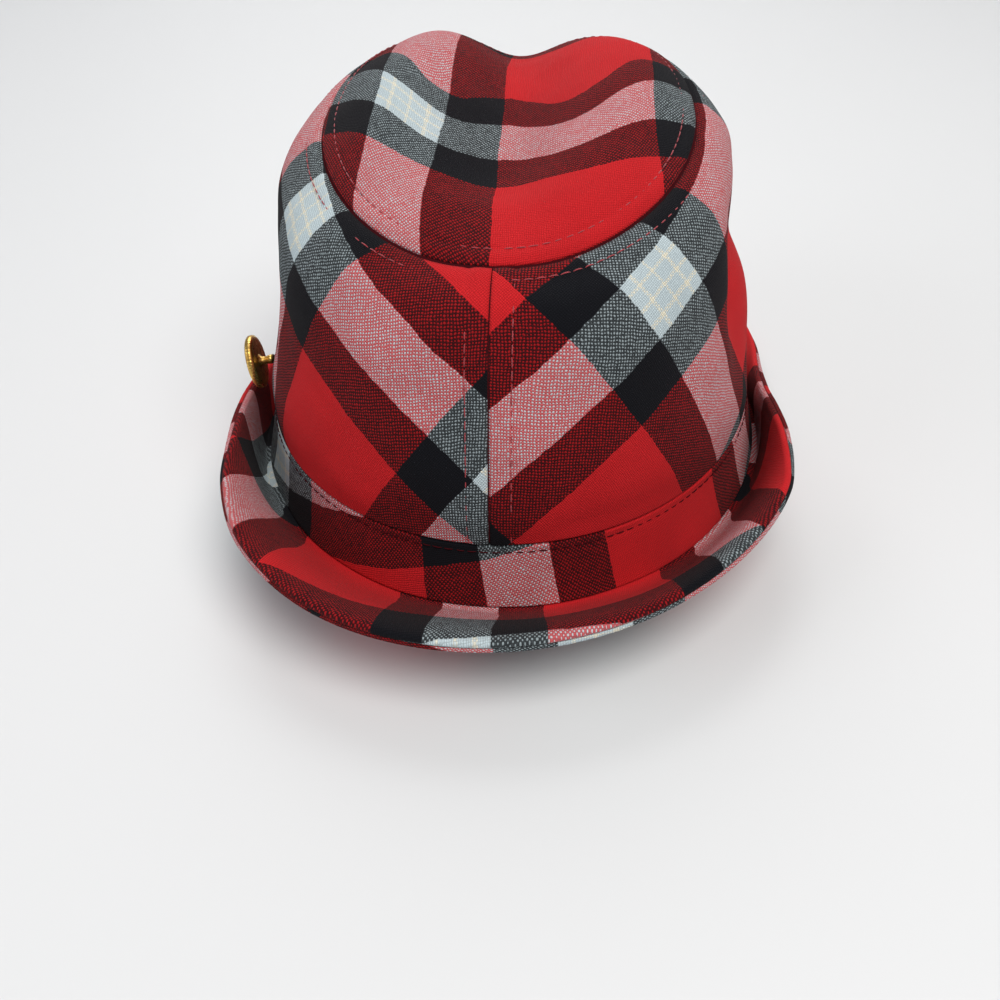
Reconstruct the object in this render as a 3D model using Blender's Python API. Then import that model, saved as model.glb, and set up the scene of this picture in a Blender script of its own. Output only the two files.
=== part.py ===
# A cloth fedora: tip, two side panels, hatband, brim of two layers and one disc button.
# Metres, +Z up. The front of the hat faces -Y and the wearer's left side is +X.

import bpy
import numpy as np

# Driving dimensions

CROWN_WIDTH = 0.168
CROWN_LENGTH = 0.200
TIP_WIDTH = 0.1156
TIP_LENGTH = 0.1458
TIP_SHIFT = -0.0079
TIP_FRONT_FULLNESS = 0.07
TIP_RISE_BACK = 0.068
TIP_RISE_SIDE = 0.085
TIP_RISE_FRONT = 0.093
BAND_HEIGHT = 0.020
BAND_FLARE = 0.005
BRIM_WIDTH = 0.040
DOME_RISE = 0.015
DENT_DEPTH = 0.017
CLOTH = 0.0018
BRIM_CLOTH = 0.0016
GAP = 0.0003
BUTTON_DIAMETER = 0.0185
BUTTON_THICKNESS = 0.0026
SHANK_DIAMETER = 0.0032
SHANK_LENGTH = 0.0050

# The brim's level tuck under the band reaches in this far, and the brim leaves the band this
# far outside its foot.
BRIM_TUCK = 0.0024
BRIM_MARGIN = 0.0005

# Turns are in degrees from the back of the hat, growing toward the wearer's left.

STATIONS = 60
BAND_ROWS = 3
WALL_ROWS = 10
TIP_ROWS = 9
BRIM_ROWS = 9

# Outline of the side wall: how far in toward the tip seam it lies at each share of the rise.
# rise, inward
WALL_OUTLINE = (
    (0.00, 0.00),
    (0.15, 0.03),
    (0.35, 0.13),
    (0.55, 0.26),
    (0.75, 0.40),
    (0.90, 0.60),
    (0.97, 0.81),
    (1.00, 1.00),
)

# Soft dents in the side wall. A depth below zero is a soft swelling.
# turn, rise, depth (share of DENT_DEPTH), spread in degrees, spread in rise
WALL_DENTS = (
    (286.0, 0.48, 0.42, 9.0, 0.28),
    (266.0, 0.64, 0.24, 16.0, 0.19),
    (75.0, 0.42, 0.22, 10.0, 0.26),
    (88.0, 0.86, -0.08, 24.0, 0.16),
    (114.0, 0.88, -0.18, 20.0, 0.16),
    (246.0, 0.88, -0.20, 20.0, 0.16),
    (142.0, 0.70, 0.62, 20.0, 0.34),
    (218.0, 0.70, 0.62, 20.0, 0.34),
)

# The dent along the middle of the tip, from the front seam to the back seam.
# along (share of the half length, -1 front, 1 back), depth (share of DENT_DEPTH), half width
# (share of the tip's half width)
TIP_DENT = (
    (-1.00, 0.60, 0.30),
    (-0.70, 0.84, 0.32),
    (-0.30, 0.95, 0.36),
    (0.20, 1.05, 0.38),
    (0.50, 0.85, 0.38),
    (0.75, 0.35, 0.36),
    (1.00, 0.00, 0.34),
)

# A shallow hollow that leaves the right hump lower than the left one.
# across and along (shares of the tip's half width and half length), depth (share of
# DENT_DEPTH), spread across, spread along
TIP_HOLLOW = (-0.34, -0.45, 0.14, 0.28, 0.50)

# The brim at each turn: reach and rise of the rim from the band's foot and how far the gutter
# between them drops, all as shares of BRIM_WIDTH, and the slope of the cloth at the rim.
# turn, reach, rise, drop, rim slope in degrees
BRIM_OUTLINE = (
    (0.0, 0.80, 0.53, 0.00, -4.0),
    (20.0, 0.79, 0.55, 0.00, 0.0),
    (36.0, 0.68, 0.64, 0.02, 12.0),
    (48.0, 0.48, 0.70, 0.05, 30.0),
    (57.0, 0.31, 0.68, 0.08, 50.0),
    (65.0, 0.21, 0.64, 0.11, 66.0),
    (75.0, 0.14, 0.56, 0.13, 76.0),
    (88.0, 0.11, 0.44, 0.13, 72.0),
    (100.0, 0.17, 0.30, 0.12, 56.0),
    (115.0, 0.42, 0.14, 0.08, 26.0),
    (135.0, 0.80, 0.00, 0.04, 0.0),
    (158.0, 1.00, -0.08, 0.02, -10.0),
    (180.0, 1.04, -0.10, 0.01, -12.0),
    (202.0, 1.00, -0.08, 0.02, -10.0),
    (225.0, 0.80, 0.00, 0.04, 0.0),
    (245.0, 0.42, 0.14, 0.08, 26.0),
    (260.0, 0.15, 0.28, 0.12, 56.0),
    (273.0, 0.06, 0.42, 0.13, 78.0),
    (284.0, 0.10, 0.57, 0.12, 80.0),
    (295.0, 0.25, 0.66, 0.10, 66.0),
    (302.0, 0.38, 0.67, 0.08, 46.0),
    (309.0, 0.50, 0.69, 0.05, 28.0),
    (323.0, 0.625, 0.64, 0.02, 12.0),
    (341.0, 0.73, 0.56, 0.00, 0.0),
)

# How much the foot of the crown and its band stand higher toward the front, where the brim
# slopes down to the floor.
# turn, lift (share of BRIM_WIDTH)
FOOT_LIFT = (
    (0.0, 0.00),
    (60.0, 0.00),
    (110.0, 0.00),
    (150.0, 0.03),
    (180.0, 0.05),
    (210.0, 0.03),
    (250.0, 0.00),
    (300.0, 0.00),
)

# The button: place on the side wall, and its lean.
BUTTON_TURN = 80.0
BUTTON_RISE = 0.0090
BUTTON_LEAN = 8.0


def lookup(rows, column, turn, around=False):
    """Smooth value of one column of a table at a turn or share, wrapping if around is true."""
    places = [row[0] for row in rows]
    values = [row[column] for row in rows]
    if around:
        places = [places[-1] - 360.0] + places + [360.0 + places[0], 360.0 + places[1]]
        values = [values[-1]] + values + [values[0], values[1]]
    else:
        places = [2.0 * places[0] - places[1]] + places + [2.0 * places[-1] - places[-2]]
        values = [2.0 * values[0] - values[1]] + values + [2.0 * values[-1] - values[-2]]
    index = 1
    while index < len(places) - 3 and turn > places[index + 1]:
        index += 1
    start, end = places[index], places[index + 1]
    slope_in = (values[index + 1] - values[index - 1]) / (places[index + 1] - places[index - 1])
    slope_out = (values[index + 2] - values[index]) / (places[index + 2] - places[index])
    step = end - start
    t = (turn - start) / step
    return (
        (2 * t**3 - 3 * t**2 + 1) * values[index]
        + (t**3 - 2 * t**2 + t) * step * slope_in
        + (3 * t**2 - 2 * t**3) * values[index + 1]
        + (t**3 - t**2) * step * slope_out
    )


def ease(value):
    """Smooth step from 0 to 1."""
    t = min(1.0, max(0.0, value))
    return t * t * (3.0 - 2.0 * t)


def turn_apart(turn, other):
    """Degrees between two turns, the short way round."""
    return abs((turn - other + 180.0) % 360.0 - 180.0)


# Shapes of the crown. A place on it is a turn, and a level: 0 to 1 up the band, 1 to 2 up the
# wall and 2 to 3 over the tip to its middle.


def around(turn):
    """Sine and cosine of a turn: the shares of half width and half length."""
    angle = np.radians(turn)
    return np.sin(angle), np.cos(angle)


def foot(turn):
    """The line where the crown's wall meets the band."""
    side, back = around(turn)
    lift = lookup(FOOT_LIFT, 1, turn % 360.0, True) * BRIM_WIDTH
    return np.array([CROWN_WIDTH / 2 * side, CROWN_LENGTH / 2 * back, lift])


def outward(turn):
    """Level direction out from the crown's foot."""
    side, back = around(turn)
    direction = np.array([side / CROWN_WIDTH, back / CROWN_LENGTH, 0.0])
    return direction / np.linalg.norm(direction)


def tip_dent(x, y):
    """How far the middle dent lowers the tip at a place."""
    along = (y - TIP_SHIFT) / (TIP_LENGTH / 2)
    depth = lookup(TIP_DENT, 1, along) * DENT_DEPTH
    width = lookup(TIP_DENT, 2, along) * TIP_WIDTH / 2
    middle = max(0.0, depth) * np.exp(-((x / width) ** 2))
    place, line, hollow, spread, reach = TIP_HOLLOW
    apart = (x / (TIP_WIDTH / 2) - place) / spread
    away = (along - line) / reach
    return middle + hollow * DENT_DEPTH * np.exp(-(apart**2) - away**2)


def tip_point(turn, share):
    """A place on the tip: share 1 is the seam and 0 the middle."""
    side, back = around(turn)
    x = TIP_WIDTH / 2 * side * share * (1.0 + TIP_FRONT_FULLNESS * ease(-back))
    y = TIP_SHIFT + TIP_LENGTH / 2 * back * share
    along = back * share
    tilt = (TIP_RISE_BACK - TIP_RISE_FRONT) / 2
    bow = (TIP_RISE_BACK + TIP_RISE_FRONT) / 2 - TIP_RISE_SIDE
    height = TIP_RISE_SIDE + tilt * along + bow * along**2
    height += DOME_RISE * (1.0 - share**3) - tip_dent(x, y)
    return np.array([x, y, height])


def wall_point(turn, rise):
    """A place on the side wall: rise 0 is the band's top edge and 1 the tip seam."""
    low, high = foot(turn), tip_point(turn, 1.0)
    inward = lookup(WALL_OUTLINE, 1, rise)
    place = low + (high - low) * np.array([inward, inward, rise])
    window = ease(rise / 0.22) * ease((1.0 - rise) / 0.20)
    for dent_turn, dent_rise, depth, spread, height in WALL_DENTS:
        apart = turn_apart(turn, dent_turn) / spread
        above = (rise - dent_rise) / height
        push = depth * DENT_DEPTH * window * np.exp(-(apart**2) - above**2)
        place = place - outward(turn) * push
    return place


def band_point(turn, share):
    """A place on the band's outer face: share 0 is its foot and 1 its top edge."""
    flare = BAND_FLARE * (1.0 - share) ** 1.2
    return foot(turn) + outward(turn) * flare - np.array([0, 0, BAND_HEIGHT * (1.0 - share)])


def crown_point(turn, level):
    """A place on the crown's outer face, by turn and level."""
    if level <= 1.0:
        return band_point(turn, level)
    if level <= 2.0:
        return wall_point(turn, level - 1.0)
    return tip_point(turn, 3.0 - level)


def crown_normal(turn, level):
    """Outward direction of the crown's face, the mean of both sides at a seam."""
    if level > 2.97:
        return np.array([0.0, 0.0, 1.0])
    if level < 0.02:
        return outward(turn)
    step = 0.012
    up = crown_point(turn, min(level + step, 3.0)) - crown_point(turn, max(level - step, 0.0))
    across = crown_point(turn + 1.0, level) - crown_point(turn - 1.0, level)
    normal = np.cross(up, across)
    return normal / np.linalg.norm(normal)


# Shape of the brim: its middle layer, from the band's foot to the rim.


def brim_point(turn, share):
    """A place in the brim's middle: share 0 is beside the band's foot and 1 the rim.

    Shares below 0 lie in the level tuck under the band, -1 at its inner end.
    """
    start = band_point(turn, 0.0) - np.array([0, 0, GAP + BRIM_CLOTH + GAP / 2])
    if share <= 0.0:
        return start + outward(turn) * (BRIM_MARGIN + share * (BRIM_MARGIN + BRIM_TUCK))
    row = [lookup(BRIM_OUTLINE, column, turn % 360.0, True) for column in (1, 2, 3, 4)]
    reach, rise, drop = (value * BRIM_WIDTH for value in row[:3])
    slope = np.radians(row[3])
    lip = 0.20 * BRIM_WIDTH
    corners = (
        (BRIM_MARGIN, 0.0),
        (0.18 * BRIM_WIDTH, -drop),
        (reach - lip * np.cos(slope), rise - lip * np.sin(slope)),
        (reach, rise),
    )
    weights = (
        (1 - share) ** 3,
        3 * share * (1 - share) ** 2,
        3 * share**2 * (1 - share),
        share**3,
    )
    out = sum(weight * corner[0] for weight, corner in zip(weights, corners))
    up = sum(weight * corner[1] for weight, corner in zip(weights, corners))
    return start + outward(turn) * out + np.array([0, 0, up])


def brim_normal(turn, share):
    """Upward direction of the brim's cloth."""
    step = 0.02
    if share < 0.0:
        return np.array([0.0, 0.0, 1.0])
    out = brim_point(turn, min(share + step, 1.0)) - brim_point(turn, share - step)
    across = brim_point(turn + 1.0, share) - brim_point(turn - 1.0, share)
    normal = np.cross(across, out)
    return normal / np.linalg.norm(normal)


# Meshes


def add_object(name, corners, faces, color, roughness, metallic=0.0):
    """A named object with a material of its own."""
    mesh = bpy.data.meshes.new(name)
    mesh.from_pydata([tuple(corner) for corner in corners], [], faces)
    mesh.validate()
    mesh.shade_smooth()
    material = bpy.data.materials.new(name)
    material.use_nodes = True
    shader = material.node_tree.nodes["Principled BSDF"]
    shader.inputs["Base Color"].default_value = (*color, 1.0)
    shader.inputs["Roughness"].default_value = roughness
    shader.inputs["Metallic"].default_value = metallic
    mesh.materials.append(material)
    thing = bpy.data.objects.new(name, mesh)
    bpy.context.scene.collection.objects.link(thing)
    return thing


def sheet_shell(name, outer, inner, closed, color, pole=None):
    """A wall between two grids of places, as a closed mesh of triangles.

    The grids have a row for each level and a place for each turn. closed says that they run
    all the way round. pole is the outer and inner place that close the last row.
    """
    rows, across = len(outer), len(outer[0])
    corners = [place for row in outer for place in row] + [place for row in inner for place in row]
    shift = rows * across
    faces = []

    def quad(a, b, c, d):
        faces.append((a, b, c))
        faces.append((a, c, d))

    steps = across if closed else across - 1
    for row in range(rows - 1):
        for step in range(steps):
            a = row * across + step
            b = row * across + (step + 1) % across
            over = a + across
            faces += [(b, a, over), (b, over, b + across)]
            a, b, over = a + shift, b + shift, over + shift
            faces += [(a, b, over), (over, b, b + across)]
    for step in range(steps):
        a, b = step, (step + 1) % across
        quad(a, b, b + shift, a + shift)
        if pole is None:
            top = (rows - 1) * across
            quad(b + top, a + top, a + top + shift, b + top + shift)
    if pole is not None:
        top = (rows - 1) * across
        corners += list(pole)
        outer_pole, inner_pole = len(corners) - 2, len(corners) - 1
        for step in range(steps):
            a, b = top + step, top + (step + 1) % across
            faces.append((b, a, outer_pole))
            faces.append((a + shift, b + shift, inner_pole))
    if not closed:
        for row in range(rows - 1):
            a, b = row * across, (row + 1) * across
            quad(a, a + shift, b + shift, b)
            a, b = a + across - 1, b + across - 1
            quad(a, b, b + shift, a + shift)
    sheet = add_object(name, corners, faces, color, 0.9)
    sheet.data.set_sharp_from_angle(angle=np.radians(50.0))
    return sheet


def full_turns():
    """Turns of the stations all the way round."""
    return [360.0 * step / STATIONS for step in range(STATIONS)]


def half_turns(first, level):
    """Turns of one side panel's stations, held off the back and front seams by half a gap."""
    half_width = abs(crown_point(90.0, level)[0])
    margin = np.degrees(GAP / 2 / half_width)
    count = STATIONS // 2
    turns = [first + 180.0 * step / count for step in range(count + 1)]
    turns[0] += margin
    turns[-1] -= margin
    return turns


def crown_sheet(name, levels, turns_at, closed, color, pole_level=None):
    """A piece of the crown between its outer face and the same face moved inward."""
    outer, inner = [], []
    for level in levels:
        places = [crown_point(turn, level) for turn in turns_at(level)]
        normals = [crown_normal(turn, level) for turn in turns_at(level)]
        outer.append(places)
        inner.append([place - normal * CLOTH for place, normal in zip(places, normals)])
    pole = None
    if pole_level is not None:
        middle = crown_point(0.0, pole_level)
        pole = (middle, middle - np.array([0.0, 0.0, CLOTH]))
    return sheet_shell(name, outer, inner, closed, color, pole)


def brim_sheet(name, near, far, color):
    """A layer of the brim between two distances from the brim's middle, near above far."""
    shares = [-1.0] + [(row / BRIM_ROWS) ** 0.9 for row in range(BRIM_ROWS + 1)]
    upper, lower = [], []
    for share in shares:
        places = [brim_point(turn, share) for turn in full_turns()]
        normals = [brim_normal(turn, share) for turn in full_turns()]
        upper.append([place + normal * near for place, normal in zip(places, normals)])
        lower.append([place + normal * far for place, normal in zip(places, normals)])
    return sheet_shell(name, lower, upper, True, color)


def levels_between(first, last, rows, length):
    """Levels of a piece's rows, its ends held off the seams by half a gap."""
    margin = GAP / 2 / length * (last - first)
    low = first + margin if first > 0.0 else first
    high = last - margin if last < 3.0 else last
    return [low + (high - low) * row / rows for row in range(rows + 1)]


def add_button():
    """The disc button: a lathed disc with a raised edge, on a round shank."""
    radius, thick = BUTTON_DIAMETER / 2, BUTTON_THICKNESS
    shank, base = SHANK_DIAMETER / 2, -SHANK_LENGTH
    outline = (
        (shank, base),
        (shank, 0.0),
        (0.93 * radius, 0.0),
        (radius, 0.25 * thick),
        (radius, 0.75 * thick),
        (0.95 * radius, thick),
        (0.86 * radius, thick),
        (0.78 * radius, 0.72 * thick),
        (0.45 * radius, 0.86 * thick),
    )
    count = 32
    corners, faces = [], []
    for out, up in outline:
        for step in range(count):
            side, level = around(360.0 * step / count)
            corners.append(np.array([up, out * side, out * level]))
    corners.append(np.array([base, 0.0, 0.0]))
    corners.append(np.array([0.92 * thick, 0.0, 0.0]))
    for ring in range(len(outline) - 1):
        for step in range(count):
            a = ring * count + step
            b = ring * count + (step + 1) % count
            faces.append((b, a, b + count))
            faces.append((b + count, a, a + count))
    top = (len(outline) - 1) * count
    for step in range(count):
        after = (step + 1) % count
        faces.append((step, after, len(corners) - 2))
        faces.append((top + after, top + step, len(corners) - 1))
    button = add_object("button", corners, faces, (0.62, 0.40, 0.12), 0.25, 1.0)
    button.data.set_sharp_from_angle(angle=np.radians(50.0))
    level = 1.0 + BUTTON_RISE / TIP_RISE_SIDE
    direction = outward(BUTTON_TURN)
    place = crown_point(BUTTON_TURN, level) + direction * (SHANK_LENGTH + GAP)
    button.location = place
    heading = np.arctan2(direction[1], direction[0])
    button.rotation_euler = (0.0, np.radians(BUTTON_LEAN), heading)
    return button


def stand_on_floor():
    """Move the hat so that the middle of its base lies at the origin, with its lowest place at
    height zero."""
    places = [
        thing.matrix_basis @ corner.co for thing in bpy.data.objects for corner in thing.data.vertices
    ]
    low, high = np.min(places, axis=0), np.max(places, axis=0)
    shift = np.array([(low[0] + high[0]) / 2, (low[1] + high[1]) / 2, low[2]])
    for thing in bpy.data.objects:
        thing.location = np.array(thing.location) - shift


def build():
    for thing in list(bpy.data.objects):
        bpy.data.objects.remove(thing)
    red, dark, wine = (0.55, 0.03, 0.03), (0.02, 0.02, 0.025), (0.12, 0.01, 0.02)
    band_levels = levels_between(0.0, 1.0, BAND_ROWS, BAND_HEIGHT)
    crown_sheet("hatband", band_levels, lambda level: full_turns(), True, wine)
    wall_levels = levels_between(1.0, 2.0, WALL_ROWS, TIP_RISE_SIDE)
    left, right = (lambda level: half_turns(0.0, level)), (lambda level: half_turns(180.0, level))
    crown_sheet("side_panel_left", wall_levels, left, False, red)
    crown_sheet("side_panel_right", wall_levels, right, False, wine)
    tip_levels = levels_between(2.0, 3.0, TIP_ROWS, TIP_WIDTH / 2)[:-1]
    crown_sheet("crown_tip", tip_levels, lambda level: full_turns(), True, red, 3.0)
    brim_sheet("brim_top", GAP / 2 + BRIM_CLOTH, GAP / 2, dark)
    brim_sheet("brim_under", -GAP / 2, -GAP / 2 - BRIM_CLOTH, wine)
    add_button()
    stand_on_floor()


build()
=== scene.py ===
"""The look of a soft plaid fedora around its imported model: cloth, stitches, button and light."""

import bpy
import numpy as np
from mathutils import Matrix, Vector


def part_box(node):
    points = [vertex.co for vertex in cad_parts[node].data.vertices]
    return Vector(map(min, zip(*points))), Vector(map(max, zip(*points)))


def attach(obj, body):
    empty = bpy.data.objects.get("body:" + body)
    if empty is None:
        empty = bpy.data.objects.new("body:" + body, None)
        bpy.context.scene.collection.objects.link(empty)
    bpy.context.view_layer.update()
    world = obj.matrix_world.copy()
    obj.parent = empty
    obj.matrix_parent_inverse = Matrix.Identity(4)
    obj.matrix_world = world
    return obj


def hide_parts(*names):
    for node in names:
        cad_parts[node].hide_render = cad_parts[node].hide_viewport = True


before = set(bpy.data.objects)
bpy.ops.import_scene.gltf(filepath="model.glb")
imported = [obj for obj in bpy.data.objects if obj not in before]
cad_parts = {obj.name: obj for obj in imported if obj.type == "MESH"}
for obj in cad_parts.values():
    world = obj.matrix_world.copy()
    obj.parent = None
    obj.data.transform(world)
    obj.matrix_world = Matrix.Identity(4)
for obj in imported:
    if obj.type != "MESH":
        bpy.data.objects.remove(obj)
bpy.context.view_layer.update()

# Sizes of the hat in metres, the same as in the solid model

CROWN_WIDTH = 0.168
CROWN_LENGTH = 0.200
TIP_WIDTH = 0.1156
TIP_LENGTH = 0.1458
TIP_SHIFT = -0.0079
TIP_FRONT_FULLNESS = 0.07
TIP_RISE_BACK = 0.068
TIP_RISE_SIDE = 0.085
TIP_RISE_FRONT = 0.093
BAND_HEIGHT = 0.020
BAND_FLARE = 0.005
BRIM_WIDTH = 0.040
DOME_RISE = 0.015
DENT_DEPTH = 0.017
CLOTH = 0.0018
BRIM_CLOTH = 0.0016
GAP = 0.0003
BRIM_TUCK = 0.0024
BRIM_MARGIN = 0.0005
BUTTON_DIAMETER = 0.0185
BUTTON_THICKNESS = 0.0026
SHANK_LENGTH = 0.0050

# Outline of the side wall: rise, inward
WALL_OUTLINE = (
    (0.00, 0.00),
    (0.15, 0.03),
    (0.35, 0.13),
    (0.55, 0.26),
    (0.75, 0.40),
    (0.90, 0.60),
    (0.97, 0.81),
    (1.00, 1.00),
)

# Soft dents in the side wall: turn, rise, depth, spread in degrees, spread in rise
WALL_DENTS = (
    (286.0, 0.48, 0.42, 9.0, 0.28),
    (266.0, 0.64, 0.24, 16.0, 0.19),
    (75.0, 0.42, 0.22, 10.0, 0.26),
    (88.0, 0.86, -0.08, 24.0, 0.16),
    (114.0, 0.88, -0.18, 20.0, 0.16),
    (246.0, 0.88, -0.20, 20.0, 0.16),
    (142.0, 0.70, 0.62, 20.0, 0.34),
    (218.0, 0.70, 0.62, 20.0, 0.34),
)

# The dent along the middle of the tip: along, depth, half width
TIP_DENT = (
    (-1.00, 0.60, 0.30),
    (-0.70, 0.84, 0.32),
    (-0.30, 0.95, 0.36),
    (0.20, 1.05, 0.38),
    (0.50, 0.85, 0.38),
    (0.75, 0.35, 0.36),
    (1.00, 0.00, 0.34),
)

# A shallow hollow in the right hump: across, along, depth, spread across, spread along
TIP_HOLLOW = (-0.34, -0.45, 0.14, 0.28, 0.50)

# The brim at each turn: turn, reach, rise, drop, rim slope in degrees
BRIM_OUTLINE = (
    (0.0, 0.80, 0.53, 0.00, -4.0),
    (20.0, 0.79, 0.55, 0.00, 0.0),
    (36.0, 0.68, 0.64, 0.02, 12.0),
    (48.0, 0.48, 0.70, 0.05, 30.0),
    (57.0, 0.31, 0.68, 0.08, 50.0),
    (65.0, 0.21, 0.64, 0.11, 66.0),
    (75.0, 0.14, 0.56, 0.13, 76.0),
    (88.0, 0.11, 0.44, 0.13, 72.0),
    (100.0, 0.17, 0.30, 0.12, 56.0),
    (115.0, 0.42, 0.14, 0.08, 26.0),
    (135.0, 0.80, 0.00, 0.04, 0.0),
    (158.0, 1.00, -0.08, 0.02, -10.0),
    (180.0, 1.04, -0.10, 0.01, -12.0),
    (202.0, 1.00, -0.08, 0.02, -10.0),
    (225.0, 0.80, 0.00, 0.04, 0.0),
    (245.0, 0.42, 0.14, 0.08, 26.0),
    (260.0, 0.15, 0.28, 0.12, 56.0),
    (273.0, 0.06, 0.42, 0.13, 78.0),
    (284.0, 0.10, 0.57, 0.12, 80.0),
    (295.0, 0.25, 0.66, 0.10, 66.0),
    (302.0, 0.38, 0.67, 0.08, 46.0),
    (309.0, 0.50, 0.69, 0.05, 28.0),
    (323.0, 0.625, 0.64, 0.02, 12.0),
    (341.0, 0.73, 0.56, 0.00, 0.0),
)

# How much the foot of the crown stands higher toward the front: turn, lift
FOOT_LIFT = (
    (0.0, 0.00),
    (60.0, 0.00),
    (110.0, 0.00),
    (150.0, 0.03),
    (180.0, 0.05),
    (210.0, 0.03),
    (250.0, 0.00),
    (300.0, 0.00),
)

BUTTON_TURN = 80.0
BUTTON_RISE = 0.0090
BUTTON_LEAN = 8.0

# Sizes of the sewing, in metres
EDGE_ROLL = 0.0005
BAND_FOOT_ROLL = 0.0006
RIM_ROLL_TOP = 0.0013
RIM_ROLL_UNDER = 0.0003
TIP_STITCH_INSET = 0.0055
BACK_STITCH_INSET = 0.0062
BAND_STITCH_INSET = 0.0022
STITCH_LENGTH = 0.0027
STITCH_PITCH = 0.0034
STITCH_THREAD = 0.00036
STITCH_SINK = 0.00018
STITCH_ARCH = 0.00026
STITCH_SLANT = 0.00010
STITCH_TIP = 0.0001

# Soft relief beside the seams, in metres: height and half width
TIP_PUFF = (0.00035, 0.0022)
SIDE_PUFF = (0.00030, 0.0026)

# Grooves that the stitches pull, in metres: depth and half width
TIP_GROOVE = (0.00024, 0.0010)
WALL_GROOVE = (0.00022, 0.0010)
SIDE_GROOVE = (0.00030, 0.0011)
BAND_GROOVE = (0.00022, 0.0009)

# Length of the puckers along a row of stitches, in metres
PUCKER_LENGTH = 0.009

# How many places a line around the crown is worked out at
LINE_POINTS = 721

# Counts of the button's relief and of the faces around it
BUTTON_BEADS = 48
BUTTON_PETALS = 12
BUTTON_SIDES = 144
SHANK_SIDES = 40

# The plaid, in millimetres: the widths of red, black, white and black in each direction
SETT_WIDE = (50.8, 18.9, 22.6, 18.9)
SETT_NARROW = (40.0, 15.0, 18.0, 15.0)
THREAD = 0.62
DOT_BIAS = 0.38
DULLING = 0.44
RED = (0.56, 0.014, 0.018)
BLACK = (0.005, 0.0055, 0.008)
WHITE = (0.52, 0.61, 0.64)
CREAM = (0.78, 0.73, 0.58)
THREAD_RED = (0.40, 0.022, 0.035)
# Almost black: painted shade in the gaps of the seams. The band's stitches are drawn in it too.
SEAM_SHADE_RED = (0.045, 0.004, 0.006)

# Where the cloth of each piece lies on the plaid. A place x, y millimetres along the flat
# piece lies at a * x + b * y + c millimetres of the plaid, across and along.
# across (a, b, c), along (a, b, c), sett across, sett along
CUTS = {
    "crown_tip": ((1.028, 0.014, 48.7), (0.085, 0.885, 61.3), SETT_WIDE, SETT_NARROW),
    "side_panel_left": ((0.847, 0.719, -36.8), (-0.723, 0.693, 43.5), SETT_WIDE, SETT_NARROW),
    "side_panel_right": ((-0.779, 0.718, -6.2), (0.733, 0.728, 43.5), SETT_WIDE, SETT_NARROW),
    "hatband": ((1.081, -0.155, 91.6), (0.256, 0.844, 26.5), SETT_WIDE, SETT_NARROW),
    "brim_top": ((1.075, 0.022, 57.7), (-0.10, 1.0, 30.6), SETT_NARROW, SETT_WIDE),
    "brim_under": ((0.90, 0.20, 83.0), (-0.37, 1.0, 32.0), SETT_NARROW, SETT_WIDE),
}

# The brim is cut as a curved strip that runs from the front around to the front again.
BRIM_CUT_RADIUS = 0.110

# The tip's cloth gives over its two humps, in millimetres: how far at the middle of its
# length, how much less for each millimetre toward the back, and where and how wide.
TIP_GIVE = (16.9, 0.316, 24.0, 15.0)

# How far its stripes move for each square millimetre away from the middle line
TIP_GIVE_SIDE = 0.0039

# In front of this place the give fades, by this share over this length.
TIP_GIVE_FRONT = -10.0
TIP_GIVE_FADE = 0.6
TIP_GIVE_FADE_LENGTH = 60.0

# The solids stand on the floor, so the place of the crown's foot is read off the band.
_band_low, _band_high = (np.array(corner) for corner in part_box("hatband"))
ORIGIN = (_band_low + _band_high) / 2
ORIGIN[2] = _band_low[2] + BAND_HEIGHT


# Shapes, for whole arrays of turns and levels


def lookup(rows, column, at, wrap=False):
    """Smooth values of one column of a table, wrapping at 360 degrees if wrap is true."""
    places = np.array([row[0] for row in rows])
    values = np.array([row[column] for row in rows])
    if wrap:
        at = np.mod(at, 360.0)
        places = np.concatenate([[places[-1] - 360.0], places, 360.0 + places[:2]])
        values = np.concatenate([[values[-1]], values, values[:2]])
    else:
        places = np.concatenate([[2 * places[0] - places[1]], places, [2 * places[-1] - places[-2]]])
        values = np.concatenate([[2 * values[0] - values[1]], values, [2 * values[-1] - values[-2]]])
    slopes = (values[2:] - values[:-2]) / (places[2:] - places[:-2])
    index = np.clip(np.searchsorted(places, at, side="right") - 1, 1, len(places) - 3)
    step = places[index + 1] - places[index]
    t = (at - places[index]) / step
    return (
        (2 * t**3 - 3 * t**2 + 1) * values[index]
        + (t**3 - 2 * t**2 + t) * step * slopes[index - 1]
        + (3 * t**2 - 2 * t**3) * values[index + 1]
        + (t**3 - t**2) * step * slopes[index]
    )


def ease(value):
    t = np.clip(value, 0.0, 1.0)
    return t * t * (3.0 - 2.0 * t)


def around(turn):
    angle = np.radians(turn)
    return np.sin(angle), np.cos(angle)


def unit(vectors):
    return vectors / np.linalg.norm(vectors, axis=-1, keepdims=True)


def outward(turn):
    side, back = around(turn)
    return unit(np.stack([side / CROWN_WIDTH, back / CROWN_LENGTH, 0.0 * side], axis=-1))


def foot(turn):
    side, back = around(turn)
    lift = lookup(FOOT_LIFT, 1, turn, True) * BRIM_WIDTH
    return np.stack([CROWN_WIDTH / 2 * side, CROWN_LENGTH / 2 * back, lift], axis=-1)


def tip_dent(x, y):
    along = (y - TIP_SHIFT) / (TIP_LENGTH / 2)
    depth = lookup(TIP_DENT, 1, along) * DENT_DEPTH
    width = lookup(TIP_DENT, 2, along) * TIP_WIDTH / 2
    middle = np.maximum(0.0, depth) * np.exp(-((x / width) ** 2))
    place, line, hollow, spread, reach = TIP_HOLLOW
    apart = (x / (TIP_WIDTH / 2) - place) / spread
    away = (along - line) / reach
    return middle + hollow * DENT_DEPTH * np.exp(-(apart**2) - away**2)


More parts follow.
